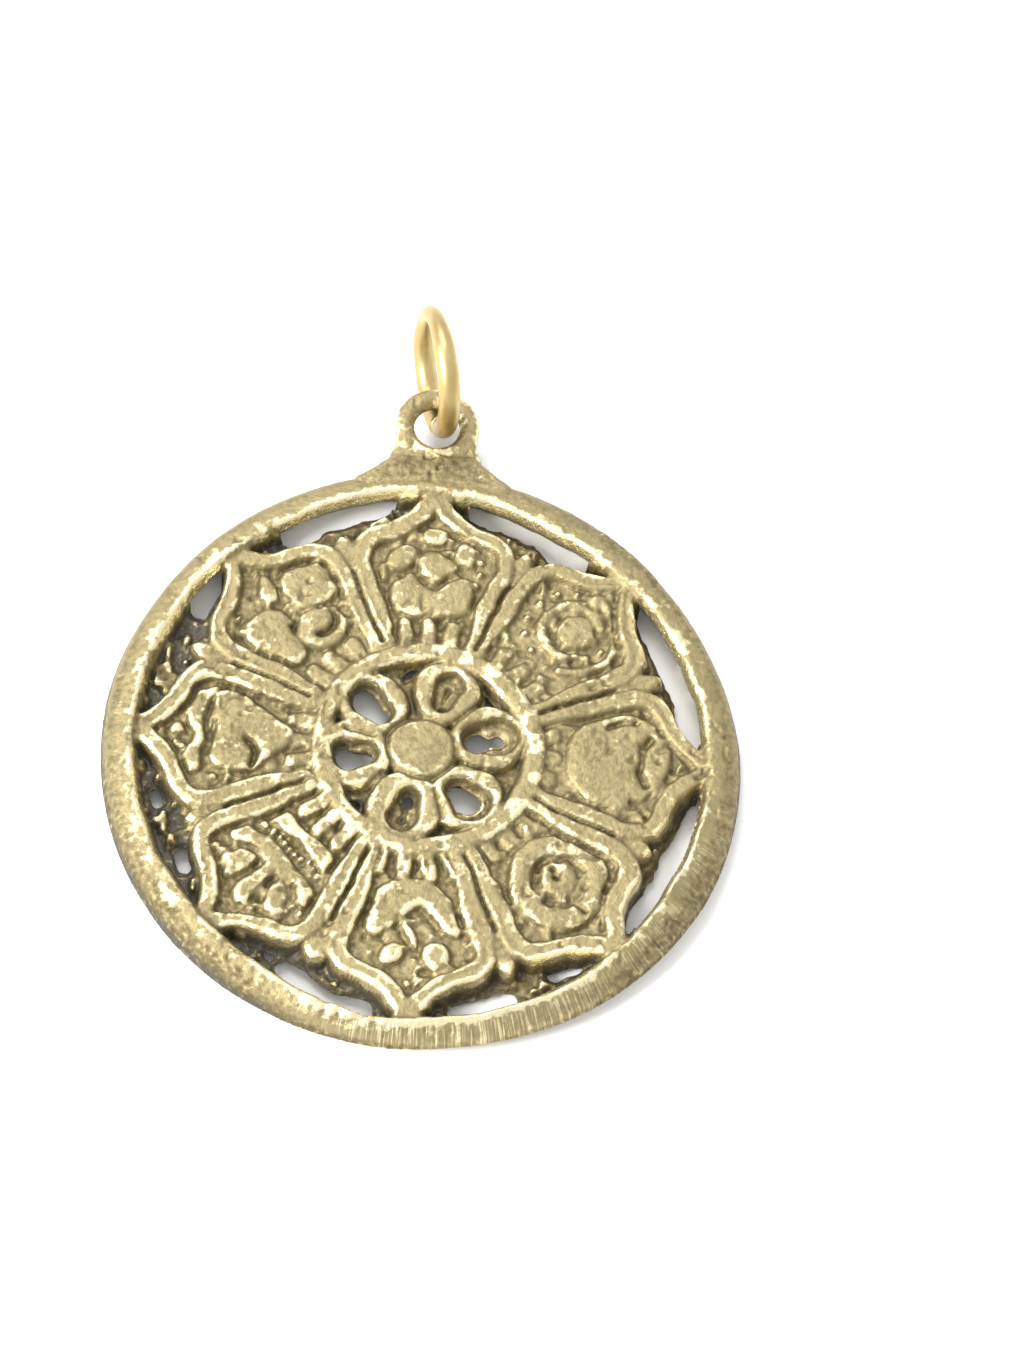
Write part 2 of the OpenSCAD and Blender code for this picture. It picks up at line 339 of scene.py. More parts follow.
# ---------------------------------------------------------------- the casting's fields

PETAL_EDGE = np.concatenate([
    [(7.1, 2.9)],
    bend((11.5, 4.71), (14.6, 6.1), (15.6, 3.6), 14),
    bend((15.6, 3.6), (16.2, 1.9), (17.7, 0.95), 12)[1:],
    [(18.8, 0.9)],
])
# Where the rim's inner side stands, and how far the worn outline lies inside a true circle
RIM_IN = ((0, 17.5), (45, 17.4), (62, 17.3), (90, 17.8), (120, 17.6), (150, 17.65),
          (180, 17.75), (205, 17.75), (235, 17.7), (262, 18.1), (285, 17.85), (330, 17.5))
OUTLINE = ((0, 0.06), (32, 0.34), (60, 0.15), (90, 0.05), (120, 0.2), (150, 0.3),
           (185, 0.12), (225, 0.08), (262, 0.22), (285, 0.36), (310, 0.2), (338, 0.03))


def petal_depth(a, b):
    """Signed distance to the petal's outline, positive inside."""
    half_width = np.interp(a, PETAL_EDGE[:, 0], PETAL_EDGE[:, 1])
    distance = -stroke(a, np.abs(b), PETAL_EDGE, 0)
    return np.where(np.abs(b) < half_width, distance, -distance)


def round_over(depth, width):
    """0 at an edge, 1 from width inside it, with a round shoulder."""
    return np.sqrt(1 - (1 - np.clip(depth / width, 0, 1)) ** 2)


def rim_fields(r, degrees, out_r):
    """(height, how far inside its inner side) of the rim: a narrow crest and a long outer slope."""
    inner = around(degrees, RIM_IN) + 0.14 * rough(degrees / 5.5, r / 4, 1, 73)
    into = r - inner
    crest = 0.35
    across = np.clip((r - inner - crest) / (out_r - inner - crest), 0, 1.1)
    slope = RIM_TOP - 0.08 - 0.5 * across**1.2 - 0.95 * across**6
    hatch = noise(degrees * 1.1, r * 0.22, 1, 71)
    filed = smooth(256, 276, degrees) * smooth(356, 336, degrees)
    bevel = RIM_TOP - 0.2 - 1.2 * across + 0.05 * hatch
    slope = slope + 0.015 * hatch * smooth(0.1, 0.5, across)
    top = slope + (bevel - slope) * filed
    drop = around(degrees, ((20, 0.5), (90, 0.4), (160, 0.5), (200, 0.85), (300, 0.85)))
    shoulder = drop * (0.55 + 0.5 * smooth(-0.1, 0.6, noise(degrees / 5, r / 4, 1, 74)))
    return top - drop * (1 - round_over(into, shoulder)), into


def rosette_fields(x, y):
    """(height, how far inside the metal) of the pierced rosette in the hub."""
    loops, holes, grooves = [], [], []
    for k in range(6):
        turn = math.radians(60 * k + 14 + 5 * math.sin(3.7 * k))
        cos, sin = math.cos(turn), math.sin(turn)
        loops.append(disc(x, y, 4.2 * cos, 4.2 * sin, 2.4 + 0.15 * math.sin(5.0 * k)))
        size = 0.92 + 0.2 * math.cos(2.6 * k)
        holes.append(stroke(x, y, [(3.5 * cos, 3.5 * sin), (4.7 * cos, 4.7 * sin)], 0.7 * size, size))
        edge = turn + math.radians(30)
        ends = [(reach * math.cos(edge), reach * math.sin(edge)) for reach in (3.0, 4.9)]
        grooves.append(stroke(x, y, ends, 0.1))
    radius = np.hypot(x, y)
    raised = cut(together(disc(x, y, 0, 0, 2.4), radius - 6.0, *loops), *holes)
    crease = together(*grooves, 0.1 - np.abs(radius - 2.1))
    height = 0.95 + 1.5 * round_over(raised, 0.4) - 0.35 * smooth(-0.12, 0.1, crease)
    metal = raised + 0.2 + 0.55 * smooth(-0.1, 0.5, noise(x, y, 1.7, 83))
    return height + 0.2 * smooth(0.2, 1.2, disc(x, y, 0, 0, 1.6)), metal


def foot_ribs(r, local, number):
    """The row of short broad ribs at each petal's foot, with pits that narrow towards the hub."""
    step = 10.4
    across = (local / step + 0.5 * (number == 4) + 0.5) % 1 - 0.5
    reach = 9.2 - 0.5 * (number % 4 == 2) - 0.2 * (number % 2)
    half = r * math.radians(step) / 2
    gap = 0.08 + 0.24 * smooth(7.4, 8.9, r)
    sideways = np.abs(across) * 2 * half
    return np.minimum(half - gap - sideways, 0.55 - np.hypot(sideways, np.maximum(r - reach + 0.55, 0)))


def petal_fields(x, y, r, local, number, flat_degrees):
    """(height, depth inside the outline) of the petals: a worn edge, a groove, the emblem on its field."""
    a, b = r * np.cos(np.radians(local)), r * np.sin(np.radians(local))
    depth = petal_depth(a, b)
    edge_width = 1.3 + 0.2 * noise(x, y, 4.5, 35) - 0.4 * smooth(11, 8, r)
    emblem = np.full_like(x, -1.0)
    for petal, shape in enumerate(EMBLEMS):
        mine = number == petal
        emblem[mine] = shape(a[mine], b[mine])
    emblem = np.minimum(emblem, depth - edge_width - 0.28)
    ribs = np.minimum(foot_ribs(r, local, number), depth - edge_width + 0.15)
    grains = smooth(-0.2, 0.7, noise(x, y, 0.42, 31)) * smooth(-0.6, 0.1, noise(x, y, 2.2, 32))
    shallow = around(flat_degrees, ((0, 0.14), (45, 0.08), (90, 0.02), (180, 0), (270, 0), (315, 0.03)))
    field = FIELD_Z - 0.02 + shallow + 0.36 * grains + 0.12 * rough(x, y, 1.3, 33)
    rib_height = np.where(np.isin(number, (0, 4, 5)), 0.95, 0.55)
    domed = 0.76 * round_over(emblem, 0.24) + 0.24 * round_over(emblem, 1.2)
    raised = together(domed, rib_height * round_over(ribs, 0.26))
    inner = field + (EDGE_Z - 0.04 - field) * raised
    edge = EDGE_Z - 0.1 * bell(depth - 0.6, 0.4) * smooth(-0.3, 0.4, noise(x, y, 3.0, 36))
    shoulder = 0.16 + 0.14 * smooth(11.5, 14, r)
    edge = edge - 0.9 * (1 - round_over(depth, shoulder)) - 0.75 * (1 - round_over(edge_width - depth, 0.22))
    return np.where(depth < edge_width, soft_max(edge, field - 0.2, 0.1), inner), depth


def leaf_depth(r, degrees, local):
    """Signed distance to the leaf tips that show between the petals, no two quite alike."""
    foot, widest = 13.0, 14.2
    turn = np.radians(PETAL_STEP / 2 - np.abs(local))
    along, across = r * np.cos(turn), r * np.sin(turn)
    border = ((np.floor(degrees / PETAL_STEP) % PETALS) * 2.4).astype(float)
    reach = 15.8 + 0.3 * np.sin(border + 1)
    taper = np.sqrt(np.clip(1 - ((along - widest) / (reach - widest)) ** 2, 0, 1))
    leaf = (0.95 + 0.12 * np.sin(border * 1.7)) * taper - across
    return np.where(along > reach, reach - along, np.where(along < foot, along - foot, leaf))


def with_hub(top, metal, x, y):
    """The top and the metal with the hub ring and its rosette set in."""
    rosette, rosette_metal = rosette_fields(x, y)
    hub_r = np.hypot(x - 0.35, y)
    ring = HUB_Z - 0.95 * (1 - round_over(hub_r - 5.95, 0.35)) - 0.7 * smooth(7.0, HUB_OUT, hub_r)
    under_ring = np.where(hub_r < 6.4, 0, np.maximum(top, 1.45))
    top = np.where(hub_r < HUB_OUT, np.maximum(under_ring, ring), top)
    top = np.where(hub_r < 6.3, np.maximum(top, rosette), top)
    return top, np.where(hub_r < ROSETTE_R, rosette_metal, metal)


def lug_fields(x, y):
    """(top, bottom, metal) of the lug: a round eye on a neck that runs into the rim."""
    lug_r = np.hypot(x - HOLE_X, y - HOLE_Y)
    across_eye = (lug_r - HOLE_R - LUG_HALF) / LUG_HALF
    power = np.where(across_eye > 0, 3.2, 2.0)
    eye = (1 - np.minimum(np.abs(across_eye), 0.97) ** power) ** (1 / power)
    neck_half = np.interp(y, [18.8, 19.6, 20.3, 21.2, 22.9], [5.0, 4.0, 3.0, 2.68, 2.62])
    neck = np.minimum(neck_half - np.abs(x - HOLE_X), HOLE_Y - y)
    below = smooth(0, -1.2, y - HOLE_Y)
    from_hole = np.clip((lug_r - HOLE_R) / 0.35, 0.06, 1) ** 0.5
    slab = np.maximum(eye, below * (round_over(np.maximum(neck, 0) + 0.06, 0.5) * from_hole))
    metal = np.minimum(np.maximum(LUG_OUT - lug_r, neck), lug_r - HOLE_R)
    top = HOLE_Z + LUG_HALF * slab * (1 - 0.2 * below * smooth(-0.3, 0.6, rough(x, y, 1.4, 51)))
    seam = bell(y - 20.8 + 0.25 * noise(x, y, 1.2, 53), 0.55) * smooth(-0.3, 0.3, noise(x, y, 0.8, 52))
    top = top - 0.22 * seam
    sink = smooth(23.2, 20.4, y)
    return top - 0.2 * sink, HOLE_Z - LUG_HALF * slab - 0.75 * sink, metal


def with_skin(top, x, y, into, on_lug):
    """The top with a cast skin of soft lumps and pits, and its high places worn flat."""
    skin = 0.07 * rough(x, y, 1.1, 91) + 0.045 * rough(x, y, 0.4, 92)
    pits = smooth(0.45, 0.8, noise(x, y, 0.4, 93)) * smooth(-0.1, 0.5, noise(x, y, 2.4, 94))
    top = top + (skin - 0.2 * pits) * np.where(y > NECK_Y, 0.5, 1)
    worn = EDGE_Z + 0.03 + 0.07 * noise(x, y, 2.5, 95)
    top = np.where(into < -0.1, soft_min(top, worn, 0.1), top)
    return np.where(on_lug, top, blurred(top, 0.07))


def casting_fields(x, y):
    """(top, bottom, metal) over the grid: heights in units, and how far inside the metal a point is."""
    sway_x = x + 0.24 * rough(x, y, 3.4, 11)
    sway_y = y + 0.24 * rough(x, y, 3.4, 21)
    shake_x = sway_x + 0.08 * noise(x, y, 0.7, 12)
    shake_y = sway_y + 0.08 * noise(x, y, 0.7, 22)
    r, degrees = np.hypot(shake_x, shake_y), np.degrees(np.arctan2(shake_y, shake_x))
    sector = np.round(degrees / PETAL_STEP)
    local = degrees - PETAL_STEP * sector
    number = ((2 - sector) % PETALS).astype(int)
    flat_r = np.hypot(x, y)
    flat_degrees = np.degrees(np.arctan2(y, x)) % 360
    nibbled = 0.05 * (1 + noise(flat_degrees / 7, 0 * r, 1, 61)) / 2
    out_r = DISC - 0.03 - around(flat_degrees, OUTLINE) - nibbled
    rim, into = rim_fields(flat_r, flat_degrees, out_r)
    petal, depth = petal_fields(x, y, r, local, number, flat_degrees)

    # flash between the petals and the rim, then petals, leaf tips and rim over it
    opening = opening_depth(shake_x, shake_y) + 0.34 * rough(x, y, 1.1, 81)
    lumps = 0.3 * rough(x, y, 1.0, 41) + 0.6 * smooth(0.0, 0.7, noise(x, y, 0.55, 42))
    flash = around(flat_degrees, ((20, 0.8), (100, 0.9), (150, 1.2), (215, 1.2), (245, 1.0), (300, 0.8)))
    floor = flash + lumps * smooth(0.1, 0.6, -opening)
    groove = 1.8 - 1.1 * smooth(13.0, 14.4, r)
    wall = together(depth, into)
    top = np.maximum(floor, np.minimum(groove, 1.8 + 2.6 * wall))
    top = top + (np.maximum(petal, top) - top) * smooth(-0.14, 0.06, depth)
    leaf = leaf_depth(r, degrees, local)
    leaf_height = 1.0 + 1.3 * round_over(leaf, 0.5)
    top = np.where((leaf > 0) & (depth < 0.1), np.maximum(top, leaf_height), top)
    on_petal = np.where((depth > 0) & (into < 0.7), top, 0)
    top = np.where(into > -0.2, soft_max(rim, on_petal, 0.25), top)
    metal = together(-opening, depth + 0.14, into + 0.06, leaf + 0.12)
    top, metal = with_hub(top, metal, sway_x, sway_y)

    # outline: the disc joined to its lug, and an underside that rises round the openings
    lug_top, lug_bottom, lug_metal = lug_fields(x, y)
    disc_metal = out_r - flat_r
    metal = np.minimum(metal, disc_metal)
    on_lug = (y > 18.5) & (flat_r > 18.9)
    joined = on_lug & (lug_metal > 0) & (disc_metal > 0)
    only_lug = on_lug & (disc_metal <= 0) & (lug_metal > disc_metal)
    top = np.where(joined, soft_max(top, lug_top, 0.4), np.where(only_lug, lug_top, top))
    bottom = np.minimum(2.0 * smooth(1.1, -0.1, metal), top - 0.3)
    bottom = np.maximum(bottom, 0.85 * smooth(0.8, 0, disc_metal))
    bottom = np.where(only_lug, lug_bottom, np.where(joined, np.minimum(bottom, lug_bottom), bottom))
    metal = np.where(on_lug, np.maximum(metal, lug_metal), metal)
    top = with_skin(top, x, y, into, on_lug)
    return top - 0.3 * smooth(0.32, 0, metal) * (flat_r < DISC + 0.2), bottom, metal


# ---------------------------------------------------------------- what the material reads

def tarnish_and_shade_field(x, y, hollow):
    """How dark the surface is: tarnish and painted shade in the hollows, painted shadow on the window floors by
    the rim, painted shade on the rim's outer slope, in the lug's eye and on the lug's right side, a darker lug
    plate, a brown outer edge and a tone that varies round the disc.
    """
    degrees = np.degrees(np.arctan2(y, x)) % 360
    into = np.hypot(x, y) - around(degrees, RIM_IN)
    # painted shadow: how strongly the rim's shadow is painted on the window floors, strongest on the left
    left = around(degrees, ((20, 0.05), (100, 0.15), (150, 0.65), (215, 0.65), (245, 0.45), (300, 0.15)))
    patina = around(degrees, ((0, 0.1), (45, 0.06), (90, 0.03), (185, 0.15),
                              (230, 0.14), (270, 0.09), (315, 0.09)))
    # painted shade on the rim's outer slope, its strength varying round the disc
    slope = around(degrees, ((0, 0.2), (50, 0.28), (90, 0.14), (180, 0.26),
                             (228, 0.5), (262, 0.15), (285, 0.1), (315, 0.28)))
    # tarnish and painted shade in the hollows: darker where the surface lies below its blurred surroundings
    tarnish_and_shade = 0.42 * (blurred(hollow, 0.6) - hollow) + 1.05 * (blurred(hollow, 0.22) - hollow)
    # painted shadow of the rim on the low window floors near it
    tarnish_and_shade = tarnish_and_shade + left * smooth(1.85, 1.25, hollow) * (into < 0.2)
    # painted shade on the rim's outer slope, and a brown outer edge
    rim_shade_and_brown_edge = slope * smooth(0.95, 1.5, into) + 0.2 * smooth(1.6, 2.2, into)
    tarnish_and_shade = tarnish_and_shade + patina + rim_shade_and_brown_edge * (y < NECK_Y)
    eye = np.hypot(x - HOLE_X, y - HOLE_Y) - HOLE_R
    # the lug plate's darker tone, with painted shade growing towards its right side
    tarnish_and_shade = tarnish_and_shade + (0.1 + 0.2 * smooth(0.4, 1.6, x - HOLE_X)) * smooth(20.3, 22.0, y)
    # painted shade inside the lug's eye
    return tarnish_and_shade + 0.6 * smooth(0.45, 0.1, eye) * (y > DISC)


def wear_and_highlight_field(x, y, hollow):
    """How bright the surface is: rubbed edges with painted highlights that vary round the disc, a painted
    highlight patch on the lug, and the rim's crest and the hub ring rubbed and given painted highlights.
    """
    degrees = np.degrees(np.arctan2(y, x)) % 360
    away = np.hypot(x, y)
    into = away - around(degrees, RIM_IN)
    # brighter on convex edges: rubbed wear together with painted highlights
    wear_and_highlight = 4.5 * (hollow - blurred(hollow, 0.28))
    # painted highlights: how bright the edges are, side by side round the disc
    highlight_by_side = around(degrees, ((0, 0.4), (45, 0.8), (90, 1.1), (180, 1.2), (225, 1.5), (270, 1.8), (315, 1.25)))
    on_disc = smooth(1.4, 0.8, into) * highlight_by_side
    wear_and_highlight = wear_and_highlight * np.where(y > NECK_Y, 0.3, on_disc) * (0.8 + 0.6 * rough(x, y, 2.4, 65))
    # painted highlight: a bright patch below the lug's eye
    patch = stroke(x, y, [(HOLE_X - 2.0, HOLE_Y - 1.6), (HOLE_X + 0.8, HOLE_Y - 2.0)], 0.6)
    wear_and_highlight = wear_and_highlight + 0.9 * smooth(0, 0.7, patch)
    # the rim's crest rubbed, with painted highlights strongest at the lower left
    crest_wear_and_highlight = around(degrees, ((30, 0.5), (75, 0.35), (130, 0.3), (180, 0.35),
                                  (210, 0.6), (232, 1.5), (262, 0.4), (345, 0.1)))
    crest = around(degrees, ((30, 0.45), (130, 0.5), (180, 0.75), (225, 0.95), (262, 0.5), (345, 0.5)))
    broken = smooth(-0.3, 0.3, noise(degrees / 4, away / 2, 1, 63))
    wear_and_highlight = wear_and_highlight + crest_wear_and_highlight * bell(into - crest, 0.5) * broken
    # the hub ring rubbed, with painted highlights strongest at the upper right
    hub_wear_and_highlight = around(degrees, ((0, 1.2), (40, 2.2), (75, 0.8), (115, 0.2),
                                (200, 0.6), (240, 0.9), (280, 0.3)))
    return wear_and_highlight + hub_wear_and_highlight * bell(away - 7.0, 0.9) * smooth(-0.3, 0.3, noise(x, y, 0.9, 64))


def filed_field(x, y):
    """How strongly the rim's outer slope is filed: along the bottom and the lower right."""
    degrees = np.degrees(np.arctan2(y, x)) % 360
    into = np.hypot(x, y) - around(degrees, RIM_IN)
    filed = around(degrees, ((250, 0.0), (268, 1.0), (285, 0.9), (305, 0.5), (338, 0.4), (358, 0.0)))
    return filed * smooth(0.5, 0.9, into)


# ---------------------------------------------------------------- from fields to a closed mesh

def clipped_grid(x, y, metal):
    """Splits the grid in triangles and cuts them along metal = 0.
    Returns the flat points, the triangles and the directed edges of the cut."""
    rows, columns = x.shape
    index = np.arange(rows * columns).reshape(rows, columns)
    p00, p10 = index[:-1, :-1].ravel(), index[:-1, 1:].ravel()
    p01, p11 = index[1:, :-1].ravel(), index[1:, 1:].ravel()
    triangles = np.concatenate([np.stack([p00, p10, p11], 1), np.stack([p00, p11, p01], 1)])
    value = metal.ravel().copy()
    # no cut passes closer than this to a grid point, so that no triangle is a sliver
    least = 0.16 * GRID_STEP
    value = np.where(np.abs(value) < least, np.where(value < 0, -least, least), value)
    solid = value > 0
    count = solid[triangles].sum(1)
    whole = triangles[count == 3]

    def turned(chosen, wanted):
        """Each triangle turned so that its first corner is the one that differs."""
        first = np.argmax(solid[chosen] == wanted, 1)
        order = (first[:, None] + np.arange(3)) % 3
        return np.take_along_axis(chosen, order, 1)

    one, two = turned(triangles[count == 1], True), turned(triangles[count == 2], False)
    ends = np.concatenate([one[:, [0, 1]], one[:, [0, 2]], two[:, [0, 1]], two[:, [0, 2]]])
    ends.sort(axis=1)
    edges, place = np.unique(ends, axis=0, return_inverse=True)
    place = place.ravel() + rows * columns
    cuts = np.split(place, np.cumsum([len(one), len(one), len(two)]))
    share = value[edges[:, 0]] / (value[edges[:, 0]] - value[edges[:, 1]])
    flat = np.stack([x.ravel(), y.ravel()], 1)
    new = flat[edges[:, 0]] + share[:, None] * (flat[edges[:, 1]] - flat[edges[:, 0]])
    faces = np.concatenate([
        whole,
        np.stack([one[:, 0], cuts[0], cuts[1]], 1),
        np.stack([two[:, 1], two[:, 2], cuts[3]], 1),
        np.stack([two[:, 1], cuts[3], cuts[2]], 1),
    ])
    border = np.concatenate([np.stack([cuts[0], cuts[1]], 1), np.stack([cuts[3], cuts[2]], 1)])
    return np.concatenate([flat, new]), faces, border, (edges, share)


def lifted(field, edges, share):
    """A field's values at the grid's points and at the points added on cut edges."""
    value = field.ravel()
    added = value[edges[:, 0]] * (1 - share) + value[edges[:, 1]] * share
    return np.concatenate([value, added])


def carried(field, solid):
    """The field with its values inside the metal carried a little way past the metal's edge."""
    reach = 0.15
    share = np.maximum(blurred(solid.astype(float), reach), 0.001)
    return np.where(solid, field, blurred(np.where(solid, field, 0), reach) / share)


def build_casting():
    """The relief as one closed mesh, with the values that its material reads stored on its points."""
    reach = DISC + 0.3
    xs = np.arange(-reach, reach + GRID_STEP, GRID_STEP)
    ys = np.arange(-reach, HOLE_Y + LUG_OUT + 0.4, GRID_STEP)
    x, y = np.meshgrid(xs, ys)
    top, bottom, metal = casting_fields(x, y)
    points, faces, border, (edges, share) = clipped_grid(x, y, metal)
    lower = np.maximum(lifted(bottom, edges, share), 0)
    upper = np.maximum(lifted(top, edges, share), lower + 0.08)
    half = len(points)
    corners = np.concatenate([np.column_stack([points, upper]), np.column_stack([points, lower])])
    walls_up = np.column_stack([border[:, 0], border[:, 0] + half, border[:, 1] + half])
    walls_down = np.column_stack([border[:, 0], border[:, 1] + half, border[:, 1]])
    everything = np.concatenate([faces, faces[:, ::-1] + half, walls_up, walls_down])
    used, new_index = np.unique(everything, return_inverse=True)
    piece = mesh_piece("cast_pendant", corners[used] * UNIT, new_index.reshape(-1, 3))

    hollow = np.where(metal > 0, top, FLOOR_Z)
    # name, values on the front, value on the back
    stored = (
        ("tarnish_and_shade", tarnish_and_shade_field(x, y, hollow), 0.22),
        ("wear_and_highlight", wear_and_highlight_field(x, y, hollow), 0.0),
        ("filed", filed_field(x, y), 0.0),
    )
    for name, field, on_back in stored:
        values = np.clip(lifted(carried(field, metal > 0), edges, share), -1, 1)
        values = np.concatenate([values, np.full(half, on_back)])[used]
        attribute = piece.data.attributes.new(name, "FLOAT", "POINT")
        attribute.data.foreach_set("value", values.astype(np.float32))
    return piece


def mesh_piece(name, corners, faces):
    """A smooth-shaded object from arrays of points and triangles or quads."""
    mesh = bpy.data.meshes.new(name)
    mesh.from_pydata(corners.tolist(), [], faces.tolist())
    mesh.polygons.foreach_set("use_smooth", np.ones(len(faces), bool))
    mesh.update()
    piece = bpy.data.objects.new(name, mesh)
    bpy.context.scene.collection.objects.link(piece)
    return piece


# ---------------------------------------------------------------- the jump ring

def build_jump_ring():
    """Sweeps the wire round the circle that the CAD ring's own points give."""
    node = frame["nodes"]["jump_ring"]
    points = np.array([v.co for v in node.data.vertices], float)
    axes = np.linalg.svd(points - points.mean(0), full_matrices=False)[2]
    spread = (points - points.mean(0)) @ axes.T
    middle = points.mean(0) + ((spread.max(0) + spread.min(0)) / 2) @ axes
    outer = (spread[:, 0].max() - spread[:, 0].min()) / 2
    wire = (spread[:, 2].max() - spread[:, 2].min()) / 2
    radius = outer - wire
    u, v, w = axes
    if v[2] < 0:
        v = -v
    u = np.cross(v, w)
    seam_at, seam_half, rings, sides = math.radians(-60), 0.016, 160, 28
    turn = np.linspace(seam_at + seam_half, seam_at + math.tau - seam_half, rings)
    section = np.arange(sides) * math.tau / sides
    # slightly thinner where it is farthest from the lug
    to_far = middle - np.array([HOLE_X, HOLE_Y, HOLE_Z]) * UNIT
    far = math.atan2(to_far @ v, to_far @ u)
    wobble = 1 - 0.012 * (1 + np.sin(5 * turn + 1)) / 2 - 0.18 * smooth(0.4, 1.0, np.cos(turn - far))
    corners = []
    for k, angle in enumerate(turn):
        end_share = min(k, rings - 1 - k) / 2
        size = wire * wobble[k] * (1 if end_share >= 1 else 0.9 + 0.1 * end_share)
        out = math.cos(angle) * u + math.sin(angle) * v
        ring = middle + radius * out
        corners.append(ring + size * (np.outer(np.cos(section), out) + np.outer(np.sin(section), w)))
    corners = np.concatenate(corners)
    faces = []
    for k in range(rings - 1):
        for s in range(sides):
            t = (s + 1) % sides
            faces.append((k * sides + s, k * sides + t, (k + 1) * sides + t, (k + 1) * sides + s))
    first, last = len(corners), len(corners) + 1
    caps = [corners[:sides].mean(0), corners[-sides:].mean(0)]
    corners = np.concatenate([corners, caps])
    base = (rings - 1) * sides
    quads = np.array(faces)
    triangles = np.concatenate([quads[:, [0, 1, 2]], quads[:, [0, 2, 3]]]).tolist()
    for s in range(sides):
        t = (s + 1) % sides
        triangles.append((first, t, s))
        triangles.append((last, base + s, base + t))
    return mesh_piece("jump_ring_wire", corners, np.array(triangles)[:, ::-1])


# ---------------------------------------------------------------- materials

def new_material(name):
    material = bpy.data.materials.new(name)
    material.use_nodes = True
    tree = material.node_tree
    return material, tree, tree.nodes["Principled BSDF"]


def add(tree, kind, **settings):
    """A node with its sockets and properties set by name."""
    node = tree.nodes.new(kind)
    for name, value in settings.items():
        label = name.replace("_", " ")
        if label in node.inputs:
            node.inputs[label].default_value = value
        else:
            setattr(node, name, value)
    return node


def ramp(tree, source, stops):
    """A colour ramp fed by source; stops are (place, colour or grey)."""
    node = tree.nodes.new("ShaderNodeValToRGB")
    elements = node.color_ramp.elements
    while len(elements) < len(stops):
        elements.new(0.5)
    for element, (place, colour) in zip(elements, stops, strict=True):
        element.position = place
        element.color = (*colour, 1) if isinstance(colour, tuple) else (colour, colour, colour, 1)
    tree.links.new(source, node.inputs["Fac"])
    return node.outputs["Color"]


def mixed(tree, share, a, b, blend="MIX"):
    """Mixes two colours; each is a socket or an (r, g, b)."""
    node = tree.nodes.new("ShaderNodeMix")
    node.data_type = "RGBA"
    node.blend_type = blend
    for socket, value in ((node.inputs[0], share), (node.inputs[6], a), (node.inputs[7], b)):
        if isinstance(value, (int, float)):
            socket.default_value = value
        elif isinstance(value, tuple):
            socket.default_value = (*value, 1)
        else:
            tree.links.new(value, socket)
    return node.outputs[2]


def maths(tree, operation, a, b, clamp=False):
    node = tree.nodes.new("ShaderNodeMath")
    node.operation = operation
    node.use_clamp = clamp
    for socket, value in zip(node.inputs, (a, b), strict=False):
        if isinstance(value, (int, float)):
            socket.default_value = value
        else:
            tree.links.new(value, socket)
    return node.outputs[0]


def grain(tree, vector, size_mm, detail=2.0):
    """Noise with features about size_mm across."""
    node = add(tree, "ShaderNodeTexNoise", Scale=1 / (size_mm * MM), Detail=detail)
    tree.links.new(vector, node.inputs["Vector"])
    return node.outputs["Fac"]


def bumped(tree, shader, layers):
    """Chains bump nodes; layers are (height socket, depth in millimetres)."""
    normal = None
    for height, depth_mm in layers:
        node = add(tree, "ShaderNodeBump", Strength=1.0, Distance=depth_mm * MM)
        tree.links.new(height, node.inputs["Height"])
        if normal is not None:
            tree.links.new(normal, node.inputs["Normal"])
        normal = node.outputs["Normal"]
    tree.links.new(normal, shader.inputs["Normal"])


